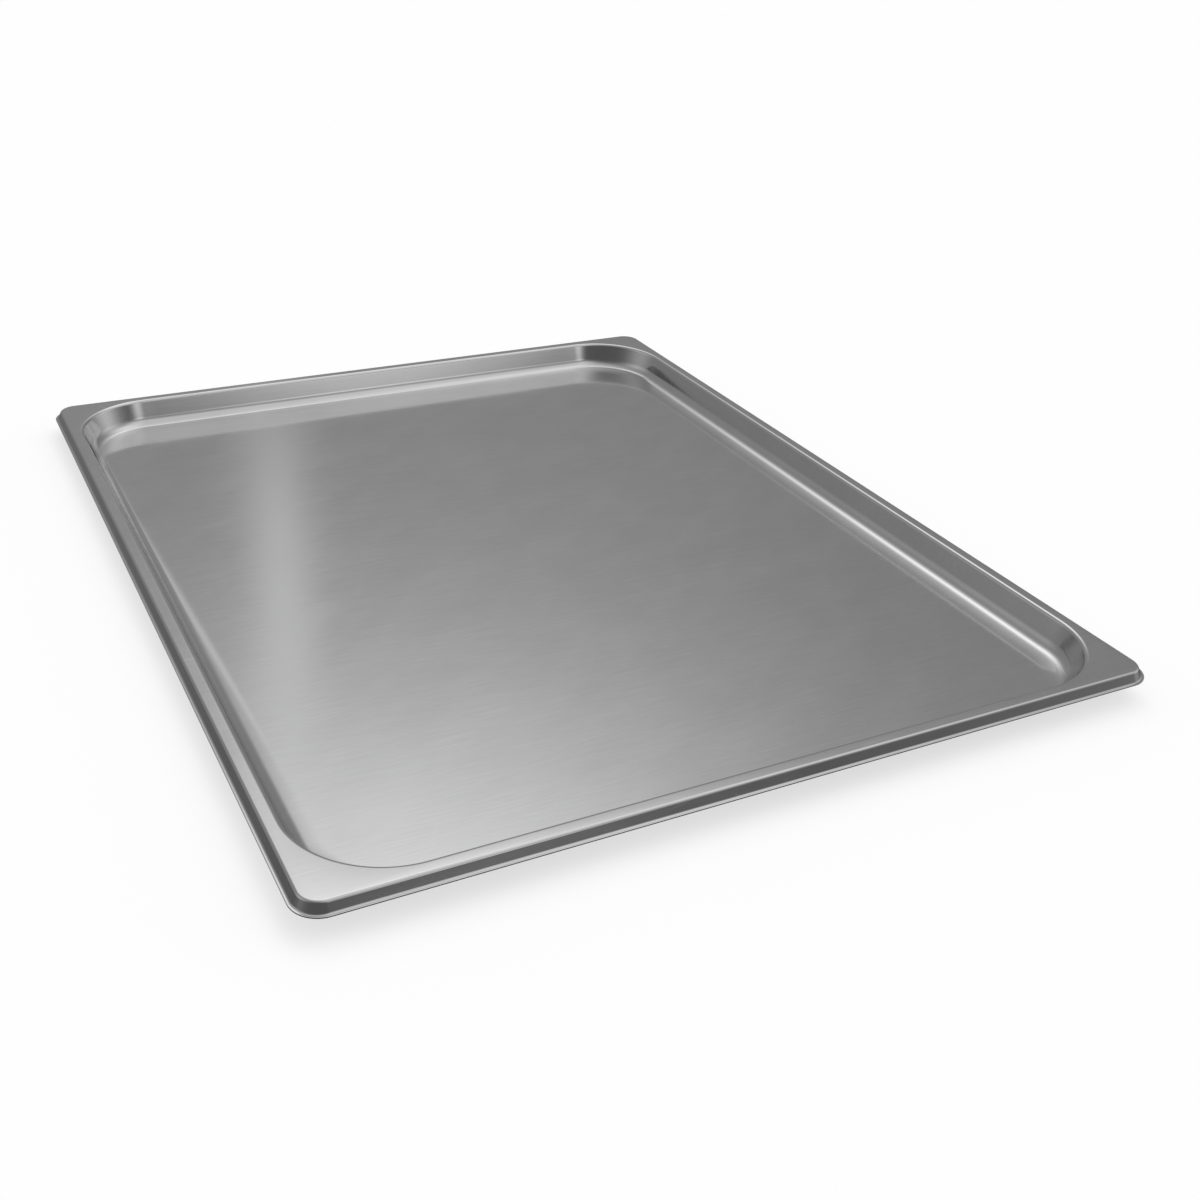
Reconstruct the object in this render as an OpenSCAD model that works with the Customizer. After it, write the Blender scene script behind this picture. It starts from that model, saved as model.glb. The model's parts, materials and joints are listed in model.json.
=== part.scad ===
// Shallow gastronorm food pan, size 2/1, 20 mm deep.
// One sheet of stainless steel, drawn into a tray: a flat base, a gentle toe, a bottom bend, a leaning
// wall, a top bend, a flat flange and a turned-down rim that ends in a small level lip.
// Millimetres. Z is up. The origin is on the standing face, under the middle of the pan.
// The long side runs along Y and the short side along X.

/* [Pan] */
// Length over the rim, along Y
pan_length = 650; // [400:5:700]
// Width over the rim, along X
pan_width = 530; // [300:5:560]
// Height from the standing face to the top of the flange
pan_depth = 20; // [16:1:40]
// Thickness of the steel sheet
sheet = 0.8; // [0.6:0.1:1.0]

/* [Rim] */
// From the tip of the lip to the start of the flat flange
rim_reach = 5.7; // [5.2:0.1:7.0]
// Radius of the outer bend, on its upper face
rim_bend_radius = 2.0; // [1.5:0.1:2.2]
// How far the skirt leans outward from the vertical, in degrees
skirt_lean = 26; // [14:1:30]
// From the top of the flange down to the underside of the lip
rim_drop = 6.5; // [5.2:0.1:7.2]
// Radius of the hollow between skirt and lip, on its upper face
cove_radius = 1.0; // [1.0:0.1:1.8]
// Plan radius of the rim's corners, at the start of the flat flange
flange_corner_radius = 10.6; // [8:0.2:16]

/* [Well] */
// Width of the flat flange along the sides
flange_flat = 5; // [3:0.5:8]
// Radius of the bend from the flange into the well, on its upper face
top_bend_radius = 3; // [2:0.5:4]
// How far the walls lean outward from the vertical, in degrees
wall_lean = 20; // [8:1:24]
// Radius of the bend between wall and base, inside the well
bottom_bend_radius = 10; // [6:0.5:12]
// Radius of the gentle toe where the bottom bend runs out into the base
toe_radius = 90; // [60:5:120]
// Angle that the toe turns through, in degrees
toe_angle = 5; // [3:1:7]
// From the tip of the lip to the centre of the well's corners
corner_inset = 68.8; // [60:0.1:80]

/* [Hidden] */

$fn = 180;

// The toe and the straight stretches are thinner than the bends by this much on each face, so that
// two faces never lie almost in one plane, and they reach this far into the bends at their ends
seam = 0.005;
lap = 0.1;

// A direction in the plane of the section, as a unit vector
function toward(angle) = [cos(angle), sin(angle)];

// The section has x = distance inward from the tip of the lip and y = height.
// The skirt takes the height that its two bends and the lip leave to it.
rim_bend_centre = [rim_reach, pan_depth - rim_bend_radius];
skirt_top = rim_bend_centre + rim_bend_radius * toward(180 - skirt_lean);
skirt_rise = rim_drop - sheet - (rim_bend_radius + cove_radius) * (1 - sin(skirt_lean));
skirt_foot = skirt_top + skirt_rise / cos(skirt_lean) * toward(270 - skirt_lean);
cove_centre = skirt_foot + cove_radius * toward(180 - skirt_lean);

// The wall takes the height that the bends and the toe leave to it.
well_edge = rim_reach + flange_flat;
top_bend_centre = [well_edge, pan_depth - top_bend_radius];
wall_top = top_bend_centre + top_bend_radius * toward(wall_lean);
bottom_bend_rise = bottom_bend_radius * (cos(toe_angle) - sin(wall_lean));
toe_rise = toe_radius * (1 - cos(toe_angle));
wall_rise = wall_top.y - sheet - bottom_bend_rise - toe_rise;
wall_foot = wall_top + wall_rise / cos(wall_lean) * toward(wall_lean - 90);
bottom_bend_centre = wall_foot + bottom_bend_radius * toward(wall_lean);
toe_centre = bottom_bend_centre + (toe_radius - bottom_bend_radius) * toward(90 - toe_angle);
base_edge = toe_centre.x;

rim_inset = rim_reach + flange_corner_radius;

// A piece of a ring, between two angles less than 180 degrees apart
module bend(centre, inner_radius, outer_radius, from, to) {
    far = 2 * outer_radius;
    translate(centre)
        intersection() {
            difference() {
                circle(outer_radius);
                circle(inner_radius);
            }
            polygon([[0, 0], far * toward(from), far * toward((from + to) / 2), far * toward(to)]);
        }
}

// A straight stretch with the sheet on the right of the line from start to end
module stretch(start, end) {
    run = end - start;
    translate(start)
        rotate(atan2(run.y, run.x))
            translate([-lap, seam - sheet])
                square([norm(run) + 2 * lap, sheet - 2 * seam]);
}

// The outer bend, the skirt, the cove and the lip
module rim_section() {
    bend(rim_bend_centre, rim_bend_radius - sheet, rim_bend_radius, 90, 180 - skirt_lean);
    stretch(skirt_foot, skirt_top);
    translate(cove_centre) {
        bend([0, 0], cove_radius, cove_radius + sheet, 270, 360 - skirt_lean);
        translate([-cove_centre.x, -cove_radius - sheet])
            square([cove_centre.x, sheet]);
    }
}

// The top bend, the wall, the bottom bend and the toe
module well_section() {
    toe_lap = 0.1;
    bend(top_bend_centre, top_bend_radius - sheet, top_bend_radius, wall_lean, 90);
    stretch(wall_top, wall_foot);
    bend(bottom_bend_centre, bottom_bend_radius, bottom_bend_radius + sheet,
         180 + wall_lean, 270 - toe_angle);
    bend(toe_centre, toe_radius + seam, toe_radius + sheet - seam,
         270 - toe_angle - toe_lap, 270 + toe_lap);
}

// Half of the pan's span across the side that so many quarter turns bring to the right
function half_span(turns) = (turns % 2 == 0 ? pan_width : pan_length) / 2;

// Sweeps a section round the four sides and the four corners, whose centres lie at the inset
module swept(inset) {
    for (turns = [0:3])
        rotate(90 * turns) {
            translate([half_span(turns), 0, 0])
                rotate([90, 0, 0])
                    linear_extrude(height = 2 * (half_span(turns + 1) - inset), center = true)
                        mirror([1, 0])
                            children();
            translate([half_span(turns) - inset, half_span(turns + 1) - inset, 0])
                rotate_extrude(angle = 90)
                    translate([inset, 0])
                        mirror([1, 0])
                            children();
        }
}

// A rectangle with round corners: its sides lie in from the tip of the lip by edge, and the centres
// of its corners by inset
module rounded_outline(edge, inset) {
    square([pan_width - 2 * edge, pan_length - 2 * inset], center = true);
    square([pan_width - 2 * inset, pan_length - 2 * edge], center = true);
    for (x = [-1, 1], y = [-1, 1])
        translate([x * (pan_width / 2 - inset), y * (pan_length / 2 - inset)])
            circle(inset - edge);
}

module flange() {
    translate([0, 0, pan_depth - sheet])
        linear_extrude(height = sheet)
            difference() {
                rounded_outline(rim_reach, rim_inset);
                rounded_outline(well_edge, corner_inset);
            }
}

module base() {
    linear_extrude(height = sheet)
        rounded_outline(base_edge, corner_inset);
}

module pan() {
    color([0.74, 0.75, 0.76]) {
        base();
        swept(corner_inset)
            well_section();
        flange();
        swept(rim_inset)
            rim_section();
    }
}

pan();
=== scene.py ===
"""A shallow gastronorm food pan, size 2/1, pressed from one sheet of satin stainless steel."""

import json
import math

import bpy
import numpy as np
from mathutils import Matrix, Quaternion, Vector


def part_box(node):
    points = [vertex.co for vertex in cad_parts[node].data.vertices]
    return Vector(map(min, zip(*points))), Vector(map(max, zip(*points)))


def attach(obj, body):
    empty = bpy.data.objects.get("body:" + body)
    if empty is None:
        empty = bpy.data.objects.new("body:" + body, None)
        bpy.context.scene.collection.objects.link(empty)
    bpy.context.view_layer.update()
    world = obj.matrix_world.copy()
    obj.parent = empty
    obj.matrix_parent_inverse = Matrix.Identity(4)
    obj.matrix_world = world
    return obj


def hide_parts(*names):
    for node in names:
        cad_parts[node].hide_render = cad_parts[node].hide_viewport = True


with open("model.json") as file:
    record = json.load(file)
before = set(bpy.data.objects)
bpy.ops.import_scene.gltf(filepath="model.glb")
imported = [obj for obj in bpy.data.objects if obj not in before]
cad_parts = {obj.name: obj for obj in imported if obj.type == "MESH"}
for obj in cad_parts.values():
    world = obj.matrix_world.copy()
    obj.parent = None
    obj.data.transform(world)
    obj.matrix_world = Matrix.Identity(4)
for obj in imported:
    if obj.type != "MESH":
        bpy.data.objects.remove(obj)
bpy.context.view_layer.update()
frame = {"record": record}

MM = 0.001

# The pan's section, as in the CAD model
SHEET = 0.8 * MM
RIM_REACH = 5.7 * MM
RIM_BEND_RADIUS = 2.0 * MM
SKIRT_LEAN = math.radians(26)
COVE_RADIUS = 1.0 * MM
FLANGE_CORNER_RADIUS = 10.6 * MM
FLANGE_FLAT = 5.0 * MM
TOP_BEND_RADIUS = 3.0 * MM
WALL_LEAN = math.radians(20)
BOTTOM_BEND_RADIUS = 10.0 * MM
TOE_RADIUS = 90.0 * MM
TOE_ANGLE = math.radians(5)
CORNER_INSET = 68.8 * MM

# The edge of the sheet is not sharp: both its corners are rounded off by this much
EDGE_ROUND = 0.22 * MM

# How finely the pan's surface is divided
CORNER_STEPS = 40
WIDTH_STEPS = 40
LENGTH_STEPS = 50

# The steel's look. Sizes are of one cell of each texture, along x, y and z
STEEL_TONE = 0.74
STEEL_ROUGHNESS = 0.10
GRAIN_CELL = (30 * MM, 0.9 * MM, 4 * MM)
GRAIN_DEPTH = 0.004 * MM
SMEAR_CELL = (70 * MM, 35 * MM, 30 * MM)
WAVE_CELL = (140 * MM, 190 * MM, 40 * MM)
WAVE_DEPTH = 0.15 * MM
SCRATCH_CELL = (60 * MM, 0.5 * MM, 6 * MM)
SCRATCH_TURNS = (4, -19, 61, 97)

# The part of each texture's range over which its mark changes; past it the mark stays the same
NOISE_BAND = (0.3, 0.7)
DULL_BAND = (0.35, 0.7)
SCRATCH_BAND = (0.70, 0.74)

# How far each mark moves the steel's tone, and how far its roughness
SMEAR_TONE = 0.018
GRAIN_TONE = 0.02
SCRATCH_TONE = 0.03
BLUE_TINT = 0.004
SMEAR_ROUGHNESS = 0.03
GRAIN_ROUGHNESS = 0.015
SCRATCH_ROUGHNESS = 0.06
RUBBED_ROUGHNESS = 0.03
SHEARED_ROUGHNESS = 0.18

# The rubbed look comes on between these depths below the top of the flange
RUBBED_FROM = 1.2 * MM
RUBBED_FULL = 0.2 * MM

# The studio. Azimuth 0 is behind the pan and 90 to its right; all angles in degrees
AMBIENT = 0.10
LOW_LIGHT = 0.04
SURROUND = 1.0
FLOOR_REACH = 30.0
FLOOR_GLOW = 0.66
FLOOR_TONE = 0.78
FLOOR_GAP = 0.2 * MM
HORIZON_BLEND = 0.02

# Each soft light has an azimuth, an elevation, a reach and a strength
KEY_LIGHT = (20, 50, 15, 0.95)
BACK_GLOW = (10, 10, 60, 0.17)
TOP_LIGHT = (0, 85, 30, 0.30)
RIGHT_LIGHT = (80, 60, 20, 0.60)
FRONT_LIGHT = (150, 55, 20, 0.50)
LOW_FRONT_LIGHT = (160, 24, 8, 0.75)
LOW_RIGHT_LIGHT = (100, 18, 24, 0.50)
LEFT_FILL = (290, 30, 25, 0.35)
SOFT_LIGHTS = (
    KEY_LIGHT, BACK_GLOW, TOP_LIGHT, RIGHT_LIGHT, FRONT_LIGHT, LOW_FRONT_LIGHT, LOW_RIGHT_LIGHT, LEFT_FILL
)

# One narrow upright light behind the pan, which the base mirrors as a stripe
STRIP_AZIMUTH = 15
STRIP_ELEVATION = 28
STRIP_WIDTH = 1.3
STRIP_HEIGHT = 7
STRIP_STRENGTH = 0.28

# The camera looks at a point on the base, from the left of the pan's near end. Distances in metres
CAMERA_AIM = Vector((-0.0128, -0.0802, 0.0))
CAMERA_DISTANCE = 0.9357
CAMERA_AZIMUTH = math.radians(-27.56)
CAMERA_ELEVATION = math.radians(29.36)
CAMERA_ROLL = math.radians(2.6)
LENS = 42.71
LENS_SHIFT = 0.035

pan_low, pan_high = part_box("pan")
HALF_WIDTH = (pan_high.x - pan_low.x) / 2
HALF_LENGTH = (pan_high.y - pan_low.y) / 2
DEPTH = pan_high.z - pan_low.z
RIM_REST = next(m for m in frame["record"]["mounts"] if m["name"] == "rim_rest")["pos_m"][2]


def toward(angle):
    return np.array([math.cos(angle), math.sin(angle)])


def arc(centre, radius, start, end, steps):
    """Points on an arc, angles in radians, both ends included."""
    return [centre + radius * toward(a) for a in np.linspace(start, end, steps + 1)]


def section(lift):
    """One face of the sheet from the lip's tip to the base: the upper face, or what lies lift under it.

    x is the distance inward from the lip's tip and y the height.
    """
    quarter = math.pi / 2
    rim_centre = np.array([RIM_REACH, DEPTH - RIM_BEND_RADIUS])
    skirt_top = rim_centre + RIM_BEND_RADIUS * toward(math.pi - SKIRT_LEAN)
    bends_rise = (RIM_BEND_RADIUS + COVE_RADIUS) * (1 - math.sin(SKIRT_LEAN))
    skirt_rise = DEPTH - RIM_REST - SHEET - bends_rise
    skirt_foot = skirt_top - skirt_rise / math.cos(SKIRT_LEAN) * toward(quarter - SKIRT_LEAN)
    cove_centre = skirt_foot + COVE_RADIUS * toward(math.pi - SKIRT_LEAN)
    top_centre = np.array([RIM_REACH + FLANGE_FLAT, DEPTH - TOP_BEND_RADIUS])
    wall_top = top_centre + TOP_BEND_RADIUS * toward(WALL_LEAN)
    bottom_rise = BOTTOM_BEND_RADIUS * (math.cos(TOE_ANGLE) - math.sin(WALL_LEAN))
    toe_rise = TOE_RADIUS * (1 - math.cos(TOE_ANGLE))
    wall_rise = wall_top[1] - SHEET - bottom_rise - toe_rise
    wall_foot = wall_top + wall_rise / math.cos(WALL_LEAN) * toward(WALL_LEAN - quarter)
    bottom_centre = wall_foot + BOTTOM_BEND_RADIUS * toward(WALL_LEAN)
    toe_centre = bottom_centre + (TOE_RADIUS - BOTTOM_BEND_RADIUS) * toward(quarter - TOE_ANGLE)

    lip_steps = np.linspace(EDGE_ROUND, cove_centre[0], 5)[:-1]
    lip = [np.array([x, RIM_REST + SHEET - lift]) for x in lip_steps]
    cove = arc(cove_centre, COVE_RADIUS + lift, -quarter, -SKIRT_LEAN, 12)
    outer_bend = arc(rim_centre, RIM_BEND_RADIUS - lift, math.pi - SKIRT_LEAN, quarter, 16)
    top_bend = arc(top_centre, TOP_BEND_RADIUS - lift, quarter, WALL_LEAN, 16)
    toe_start = 3 * quarter - TOE_ANGLE
    bottom_bend = arc(bottom_centre, BOTTOM_BEND_RADIUS + lift, math.pi + WALL_LEAN, toe_start, 20)
    toe = arc(toe_centre, TOE_RADIUS + lift, toe_start, 3 * quarter, 8)
    rim = lip + cove + outer_bend
    well = top_bend + bottom_bend + toe[1:]
    return rim, well


def outline(reach, inset, half_width, half_length):
    """The pan's outline that far inward from the lip's tip, its corners centred at inset.

    It starts in the middle of the right side and runs round to the left.
    """
    points = []
    x_end, y_end = half_width - inset, half_length - inset
    for turn in range(4):
        side, run, steps = ((x_end, y_end, LENGTH_STEPS), (y_end, x_end, WIDTH_STEPS))[turn % 2]
        ahead, left = toward(turn * math.pi / 2), toward((turn + 1) * math.pi / 2)
        spin = np.column_stack([ahead, left])
        for step in range(steps):
            points.append(spin @ np.array([side + inset - reach, -run + 2 * run * step / steps]))
        for step in range(CORNER_STEPS):
            angle = math.pi / 2 * step / CORNER_STEPS
            points.append(spin @ (np.array([side, run]) + (inset - reach) * toward(angle)))
    return points


def build_pan():
    """The whole sheet as one closed mesh: rings round the pan, from the lip to the base, on both faces."""
    ring_size = 2 * (WIDTH_STEPS + LENGTH_STEPS) + 4 * CORNER_STEPS
    rim_inset = RIM_REACH + FLANGE_CORNER_RADIUS
    verts, faces = [], []

    def ring(reach, height, inset):
        start = len(verts)
        for point in outline(reach, inset, HALF_WIDTH, HALF_LENGTH):
            verts.append((point[0], point[1], height))
        return start

    def band(a, b):
        for k in range(ring_size):
            n = (k + 1) % ring_size
            faces.append((a + k, a + n, b + n, b + k))

    def core(height, last, upward):
        """The flat middle: a grid between the corners' centres, joined to the last ring."""
        columns, rows = WIDTH_STEPS, LENGTH_STEPS
        x_end, y_end = HALF_WIDTH - CORNER_INSET, HALF_LENGTH - CORNER_INSET
        start = len(verts)
        for y in np.linspace(-y_end, y_end, rows + 1):
            for x in np.linspace(-x_end, x_end, columns + 1):
                verts.append((x, y, height))

        def at(column, row):
            return start + row * (columns + 1) + column

        new = []
        for row in range(rows):
            for column in range(columns):
                near = (at(column, row), at(column + 1, row))
                far = (at(column + 1, row + 1), at(column, row + 1))
                new.append(near + far)
        k = 0
        sides = ([at(columns, row) for row in range(rows + 1)],
                 [at(columns - column, rows) for column in range(columns + 1)],
                 [at(0, rows - row) for row in range(rows + 1)],
                 [at(column, 0) for column in range(columns + 1)])
        for inner in sides:
            for a, b in zip(inner, inner[1:]):
                new.append((last + k, last + k + 1, b, a))
                k += 1
            for _ in range(CORNER_STEPS):
                new.append((last + k, last + (k + 1) % ring_size, inner[-1]))
                k += 1
        faces.extend(new if upward else [tuple(reversed(f)) for f in new])

    def side(lift):
        rim, well = section(lift)
        rings = [ring(x, y, rim_inset) for x, y in rim]
        rings += [ring(x, y, CORNER_INSET) for x, y in well]
        return rings, well[-1][1]

    upper, upper_base = side(0.0)
    lower, lower_base = side(SHEET)
    middle = RIM_REST + SHEET / 2
    straight = SHEET / 2 - EDGE_ROUND
    edge = []
    for a in np.linspace(math.pi / 2, 0, 5)[1:]:
        drop = straight + EDGE_ROUND * math.sin(a)
        edge.append(ring(EDGE_ROUND * (1 - math.cos(a)), middle - drop, rim_inset))
    for a in np.linspace(0, math.pi / 2, 5)[:-1]:
        rise = straight + EDGE_ROUND * math.sin(a)
        edge.append(ring(EDGE_ROUND * (1 - math.cos(a)), middle + rise, rim_inset))
    way = list(reversed(lower)) + edge + upper
    for a, b in zip(way, way[1:]):
        band(a, b)
    core(upper_base, upper[-1], True)
    core(lower_base, lower[-1], False)

    mesh = bpy.data.meshes.new("pan_sheet")
    mesh.from_pydata(verts, [], faces)
    mesh.validate()
    mesh.polygons.foreach_set("use_smooth", [True] * len(mesh.polygons))
    mesh.update()
    pan = bpy.data.objects.new("pan_sheet", mesh)
    bpy.context.scene.collection.objects.link(pan)
    return pan


class Graph:
    """Short ways to add shader nodes to a material or to the world."""

    def __init__(self, tree):
        self.nodes, self.links = tree.nodes, tree.links

    def put(self, socket, value):
        if isinstance(value, (int, float, tuple)):
            socket.default_value = value
        else:
            self.links.new(value, socket)

    def math(self, operation, a, b=0.0, clamp=False):
        node = self.nodes.new("ShaderNodeMath")
        node.operation = operation
        node.use_clamp = clamp
        self.put(node.inputs[0], a)
        self.put(node.inputs[1], b)
        return node.outputs[0]

    def spread(self, value, low, high, to_low, to_high):
        """Value from low to high taken to to_low to to_high, and held at both ends."""
        node = self.nodes.new("ShaderNodeMapRange")
        node.clamp = True
        node.inputs["From Min"].default_value = low
        node.inputs["From Max"].default_value = high
        node.inputs["To Min"].default_value = to_low
        node.inputs["To Max"].default_value = to_high
        self.put(node.inputs["Value"], value)
        return node.outputs["Result"]

    def noise(self, way, stretch, turn=0.0, detail=2.0, roughness=0.5):
        """Noise whose cells measure about stretch along x, y and z, in metres, turned about z."""
        mapping = self.nodes.new("ShaderNodeMapping")
        mapping.vector_type = "TEXTURE"
        mapping.inputs["Scale"].default_value = stretch
        mapping.inputs["Rotation"].default_value = (0, 0, math.radians(turn))
        self.links.new(way, mapping.inputs["Vector"])
        node = self.nodes.new("ShaderNodeTexNoise")
        node.inputs["Scale"].default_value = 1.0
        node.inputs["Detail"].default_value = detail
        node.inputs["Roughness"].default_value = roughness
        self.links.new(mapping.outputs[0], node.inputs["Vector"])
        return node.outputs["Fac"]

    def bump(self, height, depth, normal=None):
        node = self.nodes.new("ShaderNodeBump")
        node.inputs["Strength"].default_value = 1.0
        node.inputs["Distance"].default_value = depth
        self.put(node.inputs["Height"], height)
        if normal is not None:
            self.links.new(normal, node.inputs["Normal"])
        return node.outputs["Normal"]


def satin_steel():
    """Cold-rolled stainless steel: a soft mirror with fine grain, hairline scratches and smears."""
    material = bpy.data.materials.new("satin_steel")
    material.use_nodes = True
    g = Graph(material.node_tree)
    shader = g.nodes["Principled BSDF"]
    way = g.nodes.new("ShaderNodeTexCoord").outputs["Object"]
    parts = g.nodes.new("ShaderNodeSeparateXYZ")
    g.links.new(way, parts.inputs[0])

    grain = g.noise(way, GRAIN_CELL, detail=3.0, roughness=0.6)
    smears = g.noise(way, SMEAR_CELL, turn=35, detail=3.0, roughness=0.55)
    waves = g.noise(way, WAVE_CELL, detail=1.0)
    scratches = 0.0
    for turn in SCRATCH_TURNS:
        hairs = g.spread(g.noise(way, SCRATCH_CELL, turn=turn, detail=1.0), *SCRATCH_BAND, 0.0, 1.0)
        scratches = g.math("ADD", scratches, hairs)

    # The flange rubs against shelves and other pans
    height = parts.outputs["Z"]
    rubbed = g.spread(height, DEPTH - RUBBED_FROM, DEPTH - RUBBED_FULL, 0.0, 1.0)

    # The cut edge of the sheet, at the tip of the lip, is dull
    out_x = g.math("SUBTRACT", g.math("ABSOLUTE", parts.outputs["X"]), HALF_WIDTH)
    out_y = g.math("SUBTRACT", g.math("ABSOLUTE", parts.outputs["Y"]), HALF_LENGTH)
    sheared = g.spread(g.math("MAXIMUM", out_x, out_y), -EDGE_ROUND, -EDGE_ROUND / 2, 0.0, 1.0)

    tone = g.math("ADD", g.spread(smears, *NOISE_BAND, -SMEAR_TONE, SMEAR_TONE), STEEL_TONE)
    tone = g.math("ADD", tone, g.spread(grain, *NOISE_BAND, -GRAIN_TONE, GRAIN_TONE))
    tone = g.math("ADD", tone, g.math("MULTIPLY", scratches, SCRATCH_TONE))
    colour = g.nodes.new("ShaderNodeCombineColor")
    g.put(colour.inputs[0], tone)
    g.put(colour.inputs[1], tone)
    g.put(colour.inputs[2], g.math("ADD", tone, BLUE_TINT))
    g.links.new(colour.outputs[0], shader.inputs["Base Color"])

    rough = g.math("ADD", g.spread(smears, *DULL_BAND, 0.0, SMEAR_ROUGHNESS), STEEL_ROUGHNESS)
    rough = g.math("ADD", rough, g.spread(grain, *NOISE_BAND, -GRAIN_ROUGHNESS, GRAIN_ROUGHNESS))
    rough = g.math("ADD", rough, g.math("MULTIPLY", scratches, SCRATCH_ROUGHNESS))
    rough = g.math("ADD", rough, g.math("MULTIPLY", rubbed, RUBBED_ROUGHNESS))
    rough = g.math("ADD", rough, g.math("MULTIPLY", sheared, SHEARED_ROUGHNESS))
    g.links.new(rough, shader.inputs["Roughness"])

    normal = g.bump(waves, WAVE_DEPTH)
    normal = g.bump(grain, GRAIN_DEPTH, normal)
    g.links.new(normal, shader.inputs["Normal"])
    shader.inputs["Metallic"].default_value = 1.0
    return material


def studio():
    """A soft studio: dim round about, dark low down, soft lights above and a plain white surround."""
    world = bpy.data.worlds.new("studio")
    bpy.context.scene.world = world
    world.use_nodes = True
    g = Graph(world.node_tree)
    g.nodes.clear()
    way = g.nodes.new("ShaderNodeTexCoord").outputs["Generated"]
    parts = g.nodes.new("ShaderNodeSeparateXYZ")
    g.links.new(way, parts.inputs[0])
    total = g.spread(parts.outputs["Z"], -HORIZON_BLEND, HORIZON_BLEND, LOW_LIGHT, AMBIENT)

    def fall(away, reach):
        """One at the middle of a light, about a third at its reach in degrees, then fading to nothing."""
        share = g.math("DIVIDE", away, math.radians(reach))
        return g.math("EXPONENT", g.math("MULTIPLY", g.math("MULTIPLY", share, share), -1.0))

    for azimuth, elevation, reach, strength in SOFT_LIGHTS:
        a, e = math.radians(azimuth), math.radians(elevation)
        dot = g.nodes.new("ShaderNodeVectorMath")
        dot.operation = "DOT_PRODUCT"
        g.links.new(way, dot.inputs[0])
        light_way = (math.sin(a) * math.cos(e), math.cos(a) * math.cos(e), math.sin(e))
        dot.inputs[1].default_value = light_way
        away = g.math("ARCCOSINE", g.math("MINIMUM", dot.outputs["Value"], 1.0))
        total = g.math("ADD", total, g.math("MULTIPLY", fall(away, reach), strength))

    azimuth = g.math("ARCTAN2", parts.outputs["X"], parts.outputs["Y"])
    elevation = g.math("ARCSINE", parts.outputs["Z"])
    across = fall(g.math("SUBTRACT", azimuth, math.radians(STRIP_AZIMUTH)), STRIP_WIDTH)
    along = fall(g.math("SUBTRACT", elevation, math.radians(STRIP_ELEVATION)), STRIP_HEIGHT)
    strip = g.math("MULTIPLY", g.math("MULTIPLY", across, along), STRIP_STRENGTH)
    total = g.math("ADD", total, strip)

    background = g.nodes.new("ShaderNodeBackground")
    background.inputs["Color"].default_value = (1, 1, 1, 1)
    g.put(background.inputs["Strength"], total)
    plain = g.nodes.new("ShaderNodeBackground")
    plain.inputs["Color"].default_value = (1, 1, 1, 1)
    plain.inputs["Strength"].default_value = SURROUND
    chooser = g.nodes.new("ShaderNodeMixShader")
    path = g.nodes.new("ShaderNodeLightPath")
    g.put(chooser.inputs[0], path.outputs["Is Camera Ray"])
    g.put(chooser.inputs[1], background.outputs[0])
    g.put(chooser.inputs[2], plain.outputs[0])
    output = g.nodes.new("ShaderNodeOutputWorld")
    g.put(output.inputs["Surface"], chooser.outputs[0])


def floor():
    """A pale matt floor that the steel does not mirror, as in a picture cut out on white."""
    mesh = bpy.data.meshes.new("floor")
    reach = FLOOR_REACH
    corners = [(-reach, -reach, 0), (reach, -reach, 0), (reach, reach, 0), (-reach, reach, 0)]
    mesh.from_pydata(corners, [], [(0, 1, 2, 3)])
    plane = bpy.data.objects.new("floor", mesh)
    plane.location.z = -FLOOR_GAP
    bpy.context.scene.collection.objects.link(plane)
    material = bpy.data.materials.new("pale_floor")
    material.use_nodes = True
    shader = material.node_tree.nodes["Principled BSDF"]
    shader.inputs["Base Color"].default_value = (FLOOR_TONE, FLOOR_TONE, FLOOR_TONE, 1)
    shader.inputs["Roughness"].default_value = 1.0
    shader.inputs["Specular IOR Level"].default_value = 0.0
    shader.inputs["Emission Color"].default_value = (1, 1, 1, 1)
    shader.inputs["Emission Strength"].default_value = FLOOR_GLOW
    mesh.materials.append(material)
    plane.visible_glossy = False


def camera():
    """The photograph's viewpoint, aimed a little in front of the pan's middle."""
    data = bpy.data.cameras.new("camera")
    view = bpy.data.objects.new("camera", data)
    bpy.context.scene.collection.objects.link(view)
    data.sensor_width = 36.0
    data.lens = LENS
    data.shift_x = LENS_SHIFT
    data.clip_start, data.clip_end = 0.01, 100
    back = Vector((math.sin(CAMERA_AZIMUTH) * math.cos(CAMERA_ELEVATION),
                   -math.cos(CAMERA_AZIMUTH) * math.cos(CAMERA_ELEVATION),
                   math.sin(CAMERA_ELEVATION)))
    view.location = CAMERA_AIM + CAMERA_DISTANCE * back
    view.rotation_mode = "QUATERNION"
    view.rotation_quaternion = (-back).to_track_quat("-Z", "Y") @ Quaternion((0, 0, 1), CAMERA_ROLL)
    bpy.context.scene.camera = view


pan = build_pan()
pan.data.materials.append(satin_steel())
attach(pan, "root")
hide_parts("pan")

studio()
floor()
camera()

bpy.context.scene.view_settings.view_transform = "Standard"
